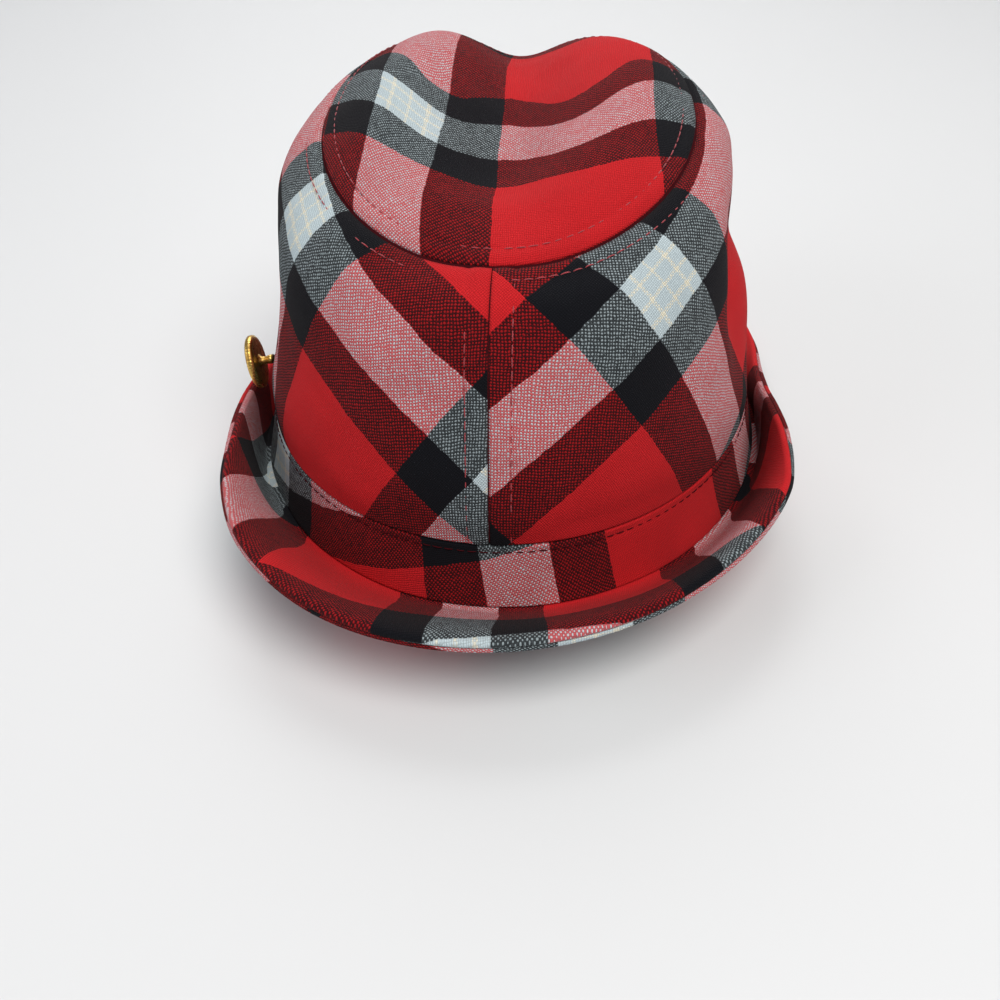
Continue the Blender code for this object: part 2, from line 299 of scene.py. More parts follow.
def tip_height(x, y, along, share):
    """Height of the tip: its lean and bow along the hat, its dome and its dent."""
    tilt = (TIP_RISE_BACK - TIP_RISE_FRONT) / 2
    bow = (TIP_RISE_BACK + TIP_RISE_FRONT) / 2 - TIP_RISE_SIDE
    level = TIP_RISE_SIDE + tilt * along + bow * along**2
    return level + DOME_RISE * (1.0 - share**3) - tip_dent(x, y)


def tip_point(turn, share):
    side, back = around(turn)
    x = TIP_WIDTH / 2 * side * share * (1.0 + TIP_FRONT_FULLNESS * ease(-back))
    y = TIP_SHIFT + TIP_LENGTH / 2 * back * share
    return np.stack([x, y, tip_height(x, y, back * share, share)], axis=-1)


def wall_point(turn, rise):
    low, high = foot(turn), tip_point(turn, np.ones_like(turn))
    inward = lookup(WALL_OUTLINE, 1, rise)
    share = np.stack([inward, inward, rise], axis=-1)
    place = low + (high - low) * share
    window = ease(rise / 0.22) * ease((1.0 - rise) / 0.20)
    push = np.zeros_like(turn)
    for dent_turn, dent_rise, depth, spread, height in WALL_DENTS:
        apart = np.abs(np.mod(turn - dent_turn + 180.0, 360.0) - 180.0) / spread
        above = (rise - dent_rise) / height
        push = push + depth * DENT_DEPTH * window * np.exp(-(apart**2) - above**2)
    return place - outward(turn) * push[..., None]


def band_point(turn, share):
    flare = BAND_FLARE * (1.0 - share) ** 1.2
    place = foot(turn) + outward(turn) * flare[..., None]
    place[..., 2] -= BAND_HEIGHT * (1.0 - share)
    return place


def normals_of(shape, turn, share, steps, limits):
    """Directions square to a surface, by small steps in turn and share."""
    up = shape(turn, np.minimum(share + steps[1], limits[1]))
    down = shape(turn, np.maximum(share - steps[1], limits[0]))
    across = shape(turn + steps[0], share) - shape(turn - steps[0], share)
    return unit(np.cross(up - down, across))


def wall_normal(turn, rise):
    return normals_of(wall_point, turn, rise, (0.6, 0.006), (0.0, 1.0))


def tip_normal(turn, share):
    """Upward directions on the tip, whose share runs outward and is turned around for them."""
    return normals_of(lambda t, s: tip_point(t, -s), turn, -share, (0.8, 0.01), (-1.0, -0.002))


def brim_point(turn, share):
    start = band_point(turn, np.zeros_like(turn))
    start[..., 2] -= GAP + BRIM_CLOTH + GAP / 2
    reach = lookup(BRIM_OUTLINE, 1, turn, True) * BRIM_WIDTH
    rise = lookup(BRIM_OUTLINE, 2, turn, True) * BRIM_WIDTH
    drop = lookup(BRIM_OUTLINE, 3, turn, True) * BRIM_WIDTH
    slope = np.radians(lookup(BRIM_OUTLINE, 4, turn, True))
    lip = 0.20 * BRIM_WIDTH
    t = np.maximum(share, 0.0)
    weights = ((1 - t) ** 3, 3 * t * (1 - t) ** 2, 3 * t**2 * (1 - t), t**3)
    outs = (BRIM_MARGIN, 0.18 * BRIM_WIDTH, reach - lip * np.cos(slope), reach)
    ups = (0.0, -drop, rise - lip * np.sin(slope), rise)
    out = sum(weight * value for weight, value in zip(weights, outs))
    up = sum(weight * value for weight, value in zip(weights, ups))
    out = out + np.minimum(share, 0.0) * (BRIM_MARGIN + BRIM_TUCK)
    place = start + outward(turn) * out[..., None]
    place[..., 2] += up
    return place


def brim_normal(turn, share):
    step = 0.02
    beyond = brim_point(turn, np.minimum(share + step, 1.0))
    out = beyond - brim_point(turn, np.maximum(share, 0.0) - step)
    across = brim_point(turn + 1.0, share) - brim_point(turn - 1.0, share)
    normal = unit(np.cross(across, out))
    level = np.array([0.0, 0.0, 1.0])
    return np.where((share < 0.0)[..., None], level, normal)


# Small unevenness of soft cloth


def ripple(u, v, length, seed):
    """Smooth unevenness between about -1 and 1 at places in metres, with bumps about length wide."""
    rng = np.random.default_rng(seed)
    total = np.zeros_like(u)
    for _ in range(7):
        angle = rng.uniform(0.0, np.pi)
        pace = 2 * np.pi / (length * rng.uniform(0.7, 1.6))
        total += np.sin(pace * (u * np.cos(angle) + v * np.sin(angle)) + rng.uniform(0.0, 6.28))
    return total / 3.2


def edge_round(distance, radius):
    """How far a face sinks near its edge, as a quarter circle."""
    t = np.clip(1.0 - distance / radius, 0.0, 1.0)
    return radius * (1.0 - np.sqrt(np.maximum(1.0 - t * t, 0.0)))


def groove(distance, depth, width):
    return depth * np.exp(-((distance / width) ** 2))


def puffed(distance, inset, puff):
    """Height of the soft ridge halfway between a seam and its stitches."""
    height, width = puff
    return np.exp(-((distance - 0.5 * inset) / width) ** 2) * height


# Meshes


def to_world(places):
    return places + ORIGIN


def make_object(name, corners, faces, corner_uv=None, face_uv=None, material=None):
    """A smooth mesh object in the row's frame that rides with the hat."""
    mesh = bpy.data.meshes.new(name)
    mesh.from_pydata(to_world(corners), [], faces)
    mesh.shade_smooth()
    if corner_uv is not None:
        layer = mesh.uv_layers.new(name="cloth")
        uv = corner_uv[np.concatenate([np.asarray(face) for face in face_uv])]
        layer.data.foreach_set("uv", uv.astype(np.float32).ravel())
    if material is not None:
        mesh.materials.append(material)
    thing = bpy.data.objects.new(name, mesh)
    bpy.context.scene.collection.objects.link(thing)
    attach(thing, "root")
    return thing


def shell(name, outer, inner, uv, closed, material, pole=False, rim=None):
    """A closed sheet between two grids of places. The grids have a row per level and a column
    per turn. uv has one more column than the grids when they are closed. rim holds the places
    on the plaid of the inner grid's last row, where the cloth turns around that edge."""
    rows, across = outer.shape[:2]
    columns = across if closed else across - 1
    uv_across = uv.shape[1]
    row, column = np.meshgrid(np.arange(rows - 1), np.arange(columns), indexing="ij")
    after = (column + 1) % across
    a, b = row * across + column, row * across + after
    over_a, over_b = a + across, b + across
    outside = np.stack([b, a, over_a, over_b], axis=-1).reshape(-1, 4)
    ua, ub = row * uv_across + column, row * uv_across + column + 1
    uv_outside = np.stack([ub, ua, ua + uv_across, ub + uv_across], axis=-1).reshape(-1, 4)
    shift = rows * across
    inside = outside[:, ::-1] + shift
    uv_inside = uv_outside[:, ::-1]
    faces, uv_faces = [outside, inside], [uv_outside, uv_inside]

    def strip(low, high, uv_low, uv_high):
        faces.append(np.stack([low[:-1], low[1:], high[1:], high[:-1]], axis=-1))
        uv_faces.append(np.stack([uv_low[:-1], uv_low[1:], uv_high[1:], uv_high[:-1]], axis=-1))

    ring = np.arange(columns + 1) % across if closed else np.arange(across)
    uv_ring = np.arange(columns + 1)
    strip(ring, ring + shift, uv_ring, uv_ring)
    top, uv_top = (rows - 1) * across, (rows - 1) * uv_across
    if not pole:
        uv_over = uv_ring + (uv_top if rim is None else rows * uv_across)
        strip(ring[::-1] + top, ring[::-1] + top + shift, uv_ring[::-1] + uv_top, uv_over[::-1])
    if not closed:
        edge = np.arange(rows) * across
        uv_edge = np.arange(rows) * uv_across
        strip(edge[::-1], edge[::-1] + shift, uv_edge[::-1], uv_edge[::-1])
        far, uv_far = edge + across - 1, uv_edge + uv_across - 1
        strip(far, far + shift, uv_far, uv_far)
    corners = np.concatenate([outer.reshape(-1, 3), inner.reshape(-1, 3)])
    flat = uv.reshape(-1, 2) if rim is None else np.concatenate([uv.reshape(-1, 2), rim])
    faces = [tuple(face) for block in faces for face in block.tolist()]
    uv_faces = [tuple(face) for block in uv_faces for face in block.tolist()]
    if pole:
        corners = np.concatenate([corners, outer[-1].mean(axis=0)[None], inner[-1].mean(axis=0)[None]])
        flat = np.concatenate([flat, uv[-1, :-1].mean(axis=0)[None]])
        middle, under, uv_middle = len(corners) - 2, len(corners) - 1, len(flat) - 1
        for step in range(across):
            low, high = top + step, top + (step + 1) % across
            faces.append((high, low, middle))
            uv_faces.append((uv_top + step + 1, uv_top + step, uv_middle))
            faces.append((low + shift, high + shift, under))
            uv_faces.append((uv_top + step, uv_top + step + 1, uv_middle))
    return make_object(name, corners, faces, flat, uv_faces, material)


def arc_lengths(places, axis):
    """Length along one axis of a grid of places, starting at nothing."""
    steps = np.linalg.norm(np.diff(places, axis=axis), axis=-1)
    zero = np.zeros_like(np.take(steps, [0], axis=axis))
    return np.concatenate([zero, np.cumsum(steps, axis=axis)], axis=axis)


def ring_lengths(turns, share):
    """Lengths around the band from the middle of the back, with the joint at the front."""
    ring = np.append(turns, turns[0] + 360.0)
    lengths = arc_lengths(band_point(ring, np.full_like(ring, share)), 0)
    return lengths - np.interp(0.0, ring, lengths)


def spaced(first, last, count, fine):
    """Places from first to last that stand closer together near both ends."""
    t = np.linspace(0.0, 1.0, count)
    return first + (last - first) * ((1 - fine) * t + fine * (0.5 - 0.5 * np.cos(np.pi * t)))


# Flat patterns: where each place of a piece lay on the cloth before it was sewn


def unroll_walls(turns):
    """The wall's foot and seam ends laid out flat, ruling after ruling, in metres."""
    low, high = foot(turns), tip_point(turns, np.ones_like(turns))
    flat_low, flat_high = [np.zeros(2)], [np.array([0.0, np.linalg.norm(high[0] - low[0])])]
    for k in range(len(turns) - 1):
        base = flat_high[-1] - flat_low[-1]
        span = np.linalg.norm(base)
        along = base / span
        square = np.array([along[1], -along[0]])

        def place(from_low, from_high):
            up = (from_low**2 - from_high**2 + span**2) / (2 * span)
            side = np.sqrt(max(from_low**2 - up**2, 0.0))
            return flat_low[-1] + along * up + square * side

        next_high = place(np.linalg.norm(high[k + 1] - low[k]), np.linalg.norm(high[k + 1] - high[k]))
        next_low = place(np.linalg.norm(low[k + 1] - low[k]), np.linalg.norm(low[k + 1] - high[k]))
        flat_low.append(next_low)
        flat_high.append(next_high)
    return np.array(flat_low), np.array(flat_high)


def wall_flat(turns, grid):
    """Flat places of a wall's grid, with the back seam upright from the origin."""
    low, high = unroll_walls(turns)
    back = -1 if turns[0] > 90.0 else 0
    along = unit(high[back] - low[back])
    square = np.array([along[1], -along[0]])
    turned = [(part - low[back]) @ np.stack([square, along], axis=-1) for part in (low, high)]
    low, high = turned
    lengths = arc_lengths(grid, 0)
    stretch = lengths[-1] / np.linalg.norm(high - low, axis=-1)
    share = (lengths / lengths[-1])[..., None]
    return low[None] + (high - low)[None] * share * stretch[None, :, None]


def tip_flat(grid):
    """Flat places of the tip's grid: lengths along its surface across and along the hat."""
    x, y = grid[..., 0], grid[..., 1]
    steps = 40
    flat_x, flat_y = np.zeros_like(x), np.zeros_like(y)

    def height(px, py):
        along = (py - TIP_SHIFT) / (TIP_LENGTH / 2)
        side = px / (TIP_WIDTH / 2)
        share = np.minimum(np.sqrt(along**2 + side**2), 1.1)
        return tip_height(px, py, along, share)

    previous = height(0.0 * x, y)
    for step in range(1, steps + 1):
        now = height(x * step / steps, y)
        flat_x += np.hypot(x / steps, now - previous) * np.sign(x)
        previous = now
    previous = height(x, 0.0 * y)
    for step in range(1, steps + 1):
        now = height(x, y * step / steps)
        flat_y += np.hypot(y / steps, now - previous) * np.sign(y)
        previous = now
    return np.stack([flat_x, flat_y], axis=-1)


def cut_from(name, flat):
    """Places on the plaid, in millimetres, of a piece's flat pattern in metres."""
    x, y = flat[..., 0] * 1000.0, flat[..., 1] * 1000.0
    rows = [a * x + b * y + c for a, b, c in CUTS[name][:2]]
    if name == "crown_tip":
        give, less, hump, width = TIP_GIVE
        most = give - TIP_GIVE_FRONT * less
        fade = 1.0 + TIP_GIVE_FADE * (y - TIP_GIVE_FRONT) / TIP_GIVE_FADE_LENGTH
        amount = np.where(y > TIP_GIVE_FRONT, give - less * y, most * fade)
        rows[1] = rows[1] + TIP_GIVE_SIDE * x**2 - amount * np.exp(-(((np.abs(x) - hump) / width) ** 2))
    return np.stack(rows, axis=-1)


# Materials


class Nodes:
    """Short calls for building a material's node tree."""

    def __init__(self, tree):
        self.tree = tree

    def add(self, kind, **settings):
        node = self.tree.nodes.new(kind)
        for key, value in settings.items():
            setattr(node, key, value)
        return node

    def link(self, source, target):
        self.tree.links.new(source, target)

    def set(self, socket, value):
        if isinstance(value, bpy.types.NodeSocket):
            self.link(value, socket)
        else:
            socket.default_value = value

    def math(self, operation, *values, clamp=False):
        node = self.add("ShaderNodeMath", operation=operation, use_clamp=clamp)
        for socket, value in zip(node.inputs, values):
            self.set(socket, value)
        return node.outputs[0]

    def spread(self, value, low, high, to_low=0.0, to_high=1.0):
        node = self.add("ShaderNodeMapRange", interpolation_type="SMOOTHSTEP")
        for socket, item in zip(node.inputs, (value, low, high, to_low, to_high)):
            self.set(socket, item)
        return node.outputs[0]

    def mix(self, share, first, second, blend="MIX"):
        node = self.add("ShaderNodeMix", data_type="RGBA", blend_type=blend)
        self.set(node.inputs[0], share)
        self.set(node.inputs[6], first)
        self.set(node.inputs[7], second)
        return node.outputs[2]

    def gray(self, color):
        node = self.add("ShaderNodeRGBToBW")
        self.link(color, node.inputs[0])
        return node.outputs[0]

    def vector(self, x, y, z=0.0):
        node = self.add("ShaderNodeCombineXYZ")
        for socket, value in zip(node.inputs, (x, y, z)):
            self.set(socket, value)
        return node.outputs[0]

    def noise(self, vector, scale, detail=2.0, roughness=0.5, output=0):
        node = self.add("ShaderNodeTexNoise")
        self.link(vector, node.inputs["Vector"])
        node.inputs["Scale"].default_value = scale
        node.inputs["Detail"].default_value = detail
        node.inputs["Roughness"].default_value = roughness
        return node.outputs[output]


def rgba(color):
    return (*color, 1.0)


def sett_ramps(nodes, place, sett):
    """Colour of the thread at a place across one direction of the plaid, and a mask that is 1
    on the three thin lines along the middle of its white stripe."""
    whole = sum(sett)
    share = nodes.math("FRACT", nodes.math("DIVIDE", place, whole))
    red, black, white = sett[0], sett[1], sett[2]
    colors = [(0.0, RED), (red, BLACK), (red + black, WHITE), (red + black + white, BLACK)]
    lines = [(0.0, (0.0, 0.0, 0.0))]
    for line in (0.22, 0.50, 0.78):
        middle = red + black + white * line
        lines += [(middle - THREAD, (1.0, 1.0, 1.0)), (middle + THREAD, (0.0, 0.0, 0.0))]
    outputs = []
    for stops in (colors, lines):
        ramp = nodes.add("ShaderNodeValToRGB")
        ramp.color_ramp.interpolation = "CONSTANT"
        elements = ramp.color_ramp.elements
        elements[0].position, elements[0].color = 0.0, rgba(stops[0][1])
        elements[1].position, elements[1].color = stops[1][0] / whole, rgba(stops[1][1])
        for position, color in stops[2:]:
            elements.new(position / whole).color = rgba(color)
        nodes.link(share, ramp.inputs[0])
        outputs.append(ramp.outputs[0])
    return outputs


def cloth_material(name, across, along):
    """Brushed plain-weave plaid: two sets of coloured threads that pass over and under, with painted
    shade in the crevices of the weave.
    """
    material = bpy.data.materials.new(name)
    material.use_nodes = True
    tree = material.node_tree
    tree.nodes.clear()
    nodes = Nodes(tree)
    uv = nodes.add("ShaderNodeUVMap", uv_map="cloth").outputs[0]
    parts = nodes.add("ShaderNodeSeparateXYZ")
    nodes.link(uv, parts.inputs[0])
    u, v = parts.outputs[0], parts.outputs[1]

    # Threads wander a little, slowly and quickly.
    slow, quick = nodes.add("ShaderNodeSeparateColor"), nodes.add("ShaderNodeSeparateColor")
    nodes.link(nodes.noise(uv, 0.035, 1.0, output=1), slow.inputs[0])
    nodes.link(nodes.noise(uv, 0.45, 2.0, output=1), quick.inputs[0])

    def wander(value, index):
        far = nodes.math("MULTIPLY", nodes.math("SUBTRACT", slow.outputs[index], 0.5), 3.0)
        near = nodes.math("MULTIPLY", nodes.math("SUBTRACT", quick.outputs[index], 0.5), 0.9)
        return nodes.math("ADD", value, nodes.math("ADD", far, near))

    u, v = wander(u, 0), wander(v, 1)

    # Threads that run along v take their colour from u, and threads that run along u from v.
    column, column_line = sett_ramps(nodes, u, across)
    row, row_line = sett_ramps(nodes, v, along)
    bright_column, bright_row = nodes.gray(column), nodes.gray(row)
    white = nodes.math(
        "MULTIPLY",
        nodes.math("GREATER_THAN", bright_column, 0.3),
        nodes.math("GREATER_THAN", bright_row, 0.3),
    )
    column = nodes.mix(nodes.math("MULTIPLY", white, column_line), column, rgba(CREAM))
    row = nodes.mix(nodes.math("MULTIPLY", white, row_line), row, rgba(CREAM))
    count_u, count_v = nodes.math("DIVIDE", u, THREAD), nodes.math("DIVIDE", v, THREAD)
    wave_u = nodes.math("SINE", nodes.math("MULTIPLY", count_u, np.pi))
    wave_v = nodes.math("SINE", nodes.math("MULTIPLY", count_v, np.pi))
    wave = nodes.math("MULTIPLY", wave_u, wave_v)

    # Each thread is thicker and thinner along its length.
    index_u, index_v = nodes.math("FLOOR", count_u), nodes.math("FLOOR", count_v)
    apart_u, along_v = nodes.math("MULTIPLY", index_u, 7.31), nodes.math("MULTIPLY", v, 0.30)
    slub_u = nodes.noise(nodes.vector(apart_u, along_v), 1.0)
    along_u, apart_v = nodes.math("MULTIPLY", u, 0.30), nodes.math("MULTIPLY", index_v, 5.17)
    slub_v = nodes.noise(nodes.vector(along_u, apart_v), 1.0)
    lean = nodes.math("MULTIPLY", nodes.math("SUBTRACT", slub_u, slub_v), 1.3)
    # Where the two sets differ, the lighter one shows as smaller dots.
    lighter = nodes.math("MULTIPLY", nodes.math("SUBTRACT", bright_row, bright_column), 5.0)
    lighter = nodes.math("MAXIMUM", nodes.math("MINIMUM", lighter, 1.0), -1.0)
    lean = nodes.math("ADD", lean, nodes.math("MULTIPLY", lighter, DOT_BIAS))
    over = nodes.spread(nodes.math("ADD", wave, lean), -0.22, 0.22)

    color = nodes.mix(over, row, column)
    depth = nodes.math("ABSOLUTE", wave)
    # Painted shade: the colour darkens by up to half in the crevices where the crossing threads dip
    # under each other. Fibre and patch noise then vary the tone at random.
    shade_and_tone = nodes.spread(depth, 0.0, 0.55, 0.50, 1.0)
    fiber = nodes.noise(uv, 2.2, 4.0, 0.65)
    shade_and_tone = nodes.math("MULTIPLY", shade_and_tone, nodes.spread(fiber, 0.25, 0.75, 0.80, 1.16))
    patch = nodes.noise(uv, 0.05, 3.0, 0.55)
    shade_and_tone = nodes.math("MULTIPLY", shade_and_tone, nodes.spread(patch, 0.3, 0.7, 0.93, 1.06))
    # Threads that cross a black set lie deeper in it and look duller.
    dark_column = nodes.math("LESS_THAN", bright_column, 0.03)
    dark_row = nodes.math("LESS_THAN", bright_row, 0.03)
    one_dark = nodes.math("ABSOLUTE", nodes.math("SUBTRACT", dark_column, dark_row))
    dulled = nodes.math("SUBTRACT", 1.0, nodes.math("MULTIPLY", one_dark, DULLING))
    shade_and_tone = nodes.math("MULTIPLY", shade_and_tone, dulled)
    gray = nodes.vector(shade_and_tone, shade_and_tone, shade_and_tone)
    color = nodes.mix(1.0, color, gray, "MULTIPLY")

    # Loose fibres raised from the light threads lie over the dark ones.
    fuzz = nodes.noise(uv, 1.1, 5.0, 0.7)
    light = nodes.mix(0.5, row, column)
    veil = nodes.spread(fuzz, 0.45, 0.80, 0.10, 0.34)
    veil = nodes.math("ADD", veil, nodes.math("MULTIPLY", nodes.math("SUBTRACT", 1.0, one_dark), 0.16))
    color = nodes.mix(veil, color, light)

    bump_height = nodes.math("ADD", depth, nodes.math("MULTIPLY", fiber, 0.7))
    bump = nodes.add("ShaderNodeBump")
    bump.inputs["Strength"].default_value = 0.55
    bump.inputs["Distance"].default_value = 0.00030
    nodes.link(bump_height, bump.inputs["Height"])

    shader = nodes.add("ShaderNodeBsdfPrincipled")
    nodes.link(color, shader.inputs["Base Color"])
    nodes.link(bump.outputs[0], shader.inputs["Normal"])
    shader.inputs["Roughness"].default_value = 0.92
    shader.inputs["Specular IOR Level"].default_value = 0.10
    shader.inputs["Sheen Weight"].default_value = 0.025
    shader.inputs["Sheen Roughness"].default_value = 0.55
    shader.inputs["Sheen Tint"].default_value = (1.0, 0.86, 0.84, 1.0)
    output = nodes.add("ShaderNodeOutputMaterial")
    nodes.link(shader.outputs[0], output.inputs[0])
    return material


def thread_material():
    material = bpy.data.materials.new("stitch_thread")
    material.use_nodes = True
    nodes = Nodes(material.node_tree)
    shader = material.node_tree.nodes["Principled BSDF"]
    place = nodes.add("ShaderNodeTexCoord").outputs["Object"]
    twist = nodes.noise(place, 2600.0, 3.0, 0.6)
    dark = tuple(0.45 * value for value in THREAD_RED)
    color = nodes.mix(nodes.spread(twist, 0.3, 0.7), rgba(dark), rgba(THREAD_RED))
    nodes.link(color, shader.inputs["Base Color"])
    shader.inputs["Roughness"].default_value = 0.7
    shader.inputs["Sheen Weight"].default_value = 0.3
    return material


def gold_material():
    """Worn gold-coloured metal in random patches of brighter and darker, browner gold."""
    material = bpy.data.materials.new("button_gold")
    material.use_nodes = True
    nodes = Nodes(material.node_tree)
    shader = material.node_tree.nodes["Principled BSDF"]
    place = nodes.add("ShaderNodeTexCoord").outputs["Object"]
    stain = nodes.noise(place, 260.0, 4.0, 0.6)
    worn = nodes.mix(nodes.spread(stain, 0.35, 0.7), rgba((0.72, 0.47, 0.13)), rgba((0.42, 0.24, 0.06)))
    nodes.link(worn, shader.inputs["Base Color"])
    nodes.link(nodes.spread(stain, 0.3, 0.7, 0.24, 0.42), shader.inputs["Roughness"])
    shader.inputs["Metallic"].default_value = 1.0
    scratch = nodes.add("ShaderNodeBump")
    scratch.inputs["Strength"].default_value = 0.25
    scratch.inputs["Distance"].default_value = 0.0001
    nodes.link(nodes.noise(place, 1800.0, 4.0, 0.7), scratch.inputs["Height"])
    nodes.link(scratch.outputs[0], shader.inputs["Normal"])
    return material


# The cloth pieces

PANEL_COLUMNS = 240
PANEL_ROWS = 92
RING_COLUMNS = 420


def add_panel(name, first, seed):
    half = abs(wall_point(np.array(first + 90.0), np.array(0.5))[0])
    margin = np.degrees(GAP / 2 / half)
    turns = spaced(first + margin, first + 180.0 - margin, PANEL_COLUMNS + 1, 0.35)
    rise_margin = GAP / 2 / TIP_RISE_SIDE
    rises = spaced(rise_margin, 1.0 - rise_margin, PANEL_ROWS, 0.45)
    turn, rise = np.meshgrid(turns, rises)
    places, normals = wall_point(turn, rise), wall_normal(turn, rise)
    up = arc_lengths(places, 0)
    side = arc_lengths(places, 1)
    from_foot, from_tip = up, up[-1] - up
    from_back, from_front = side, side[:, -1:] - side
    if first > 90.0:
        from_back, from_front = from_front, from_back
    sink = edge_round(from_foot, EDGE_ROLL)
    for distance in (from_tip, from_back, from_front):
        sink = np.maximum(sink, edge_round(distance, EDGE_ROLL))
    pucker = 0.5 + 0.5 * ripple(side, up, PUCKER_LENGTH, seed)
    sink += groove(from_tip - TIP_STITCH_INSET, *WALL_GROOVE) * pucker
    sink += groove(from_back - BACK_STITCH_INSET, *SIDE_GROOVE) * pucker
    sink += groove(from_front - BACK_STITCH_INSET, *SIDE_GROOVE) * pucker
    puff = puffed(from_tip, TIP_STITCH_INSET, TIP_PUFF)
    puff += puffed(from_back, BACK_STITCH_INSET, SIDE_PUFF)
    puff += puffed(from_front, BACK_STITCH_INSET, SIDE_PUFF)
    inside = ease(np.minimum(np.minimum(from_tip, from_foot), np.minimum(from_back, from_front)) / 0.006)
    soft = ripple(side, up, 0.045, seed + 1) * 0.00050
    soft = soft + ripple(side, up, 0.016, seed + 2) * 0.00012
    offset = puff - sink + soft * inside
    outer = places + normals * offset[..., None]
    inner = places - normals * (CLOTH - np.minimum(soft * inside, 0.0))[..., None]
    flat = wall_flat(turns, places)
    material = cloth_material("cloth_" + name, *CUTS[name][2:])
    thing = shell(name + "_cloth", outer, inner, cut_from(name, flat), False, material)
    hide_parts(name)


def add_tip():
    turns = np.linspace(0.0, 360.0, RING_COLUMNS, endpoint=False)
    edge = 1.0 - GAP / 2 / (TIP_WIDTH / 2)
    shares = np.concatenate([edge - np.linspace(0.0, 0.10, 22), np.linspace(edge - 0.112, 0.012, 60)])
    turn, share = np.meshgrid(turns, shares)
    places, normals = tip_point(turn, share), tip_normal(turn, share)
    from_seam = arc_lengths(places, 0)
    x, y = places[..., 0], places[..., 1]
    pucker = 0.5 + 0.5 * ripple(x, y, PUCKER_LENGTH, 31)
    offset = -edge_round(from_seam, EDGE_ROLL)
    offset -= groove(from_seam - TIP_STITCH_INSET, *TIP_GROOVE) * pucker
    offset += puffed(from_seam, TIP_STITCH_INSET, TIP_PUFF)
    soft = ripple(x, y, 0.040, 32) * 0.00045 + ripple(x, y, 0.015, 33) * 0.00010
    offset += soft * ease(from_seam / 0.008)
    outer = places + normals * offset[..., None]
    inner = places - normals * CLOTH
    full = tip_point(*np.meshgrid(np.append(turns, 360.0), shares))
    material = cloth_material("cloth_crown_tip", *CUTS["crown_tip"][2:])
    cut = cut_from("crown_tip", tip_flat(full))
    thing = shell("crown_tip_cloth", outer, inner, cut, True, material, pole=True)
    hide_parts("crown_tip")


def add_band():
    turns = np.linspace(-180.0, 180.0, RING_COLUMNS, endpoint=False)
    top = 1.0 - GAP / 2 / BAND_HEIGHT
    shares = spaced(0.0, top, 34, 0.5)
    turn, share = np.meshgrid(turns, shares)
    places = band_point(turn, share)
    normals = normals_of(band_point, turn, share, (0.8, 0.02), (0.0, 1.0))
    up = arc_lengths(places, 0)
    along = ring_lengths(turns, 0.5)
    from_top = up[-1] - up
    offset = -np.maximum(edge_round(from_top, EDGE_ROLL), edge_round(up, BAND_FOOT_ROLL))
    around_band = np.broadcast_to(along[None, :-1], up.shape)
    pucker = 0.5 + 0.5 * ripple(around_band, up, 0.010, 41)
    offset -= groove(from_top - BAND_STITCH_INSET, *BAND_GROOVE) * pucker
    offset += ripple(around_band, up, 0.030, 42) * 0.00022 * ease(from_top / 0.004)
    outer = places + normals * offset[..., None]
    inner = places - normals * CLOTH
    flat = np.stack(np.broadcast_arrays(along[None, :], np.append(up, up[:, :1], axis=1)), axis=-1)
    material = cloth_material("cloth_hatband", *CUTS["hatband"][2:])
    thing = shell("hatband_cloth", outer, inner, cut_from("hatband", flat), True, material)
    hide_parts("hatband")


def add_brim(name, near, far, top, seed):
    turns = np.linspace(-180.0, 180.0, RING_COLUMNS, endpoint=False)
    shares = np.concatenate([[-1.0, -0.5], spaced(0.0, 1.0, 84, 0.75)])
    turn, share = np.meshgrid(turns, shares)
    places, normals = brim_point(turn, share), brim_normal(turn, share)
    out = arc_lengths(places, 0)
    from_rim = out[-1] - out
    inside = ease(from_rim / 0.006) * ease((out - 0.004) / 0.006)
    x, y = places[..., 0], places[..., 1]
    soft = ripple(x, y, 0.050, seed) * 0.00045 * inside
    upper = places + normals * (near + soft)[..., None]
    lower = places + normals * (far + soft)[..., None]
    if top:
        upper = upper - normals * edge_round(from_rim, RIM_ROLL_TOP)[..., None]
    else:
        lower = lower + normals * edge_round(from_rim, RIM_ROLL_UNDER)[..., None]
    angle = ring_lengths(turns, 0.0) / BRIM_CUT_RADIUS
    reach = BRIM_CUT_RADIUS + np.append(out, out[:, :1], axis=1)
    reach = np.concatenate([reach, reach[-1:] + BRIM_CLOTH])
    flat = np.stack([reach * np.sin(angle), reach * np.cos(angle) - BRIM_CUT_RADIUS], axis=-1)
    cut = cut_from(name, flat)
    material = cloth_material("cloth_" + name, *CUTS[name][2:])
    first, second = (upper, lower) if top else (lower, upper)
    thing = shell(name + "_cloth", first, second, cut[:-1], True, material, rim=cut[-1])
    if top:
        thing.data.flip_normals()
    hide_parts(name)


# Stitches


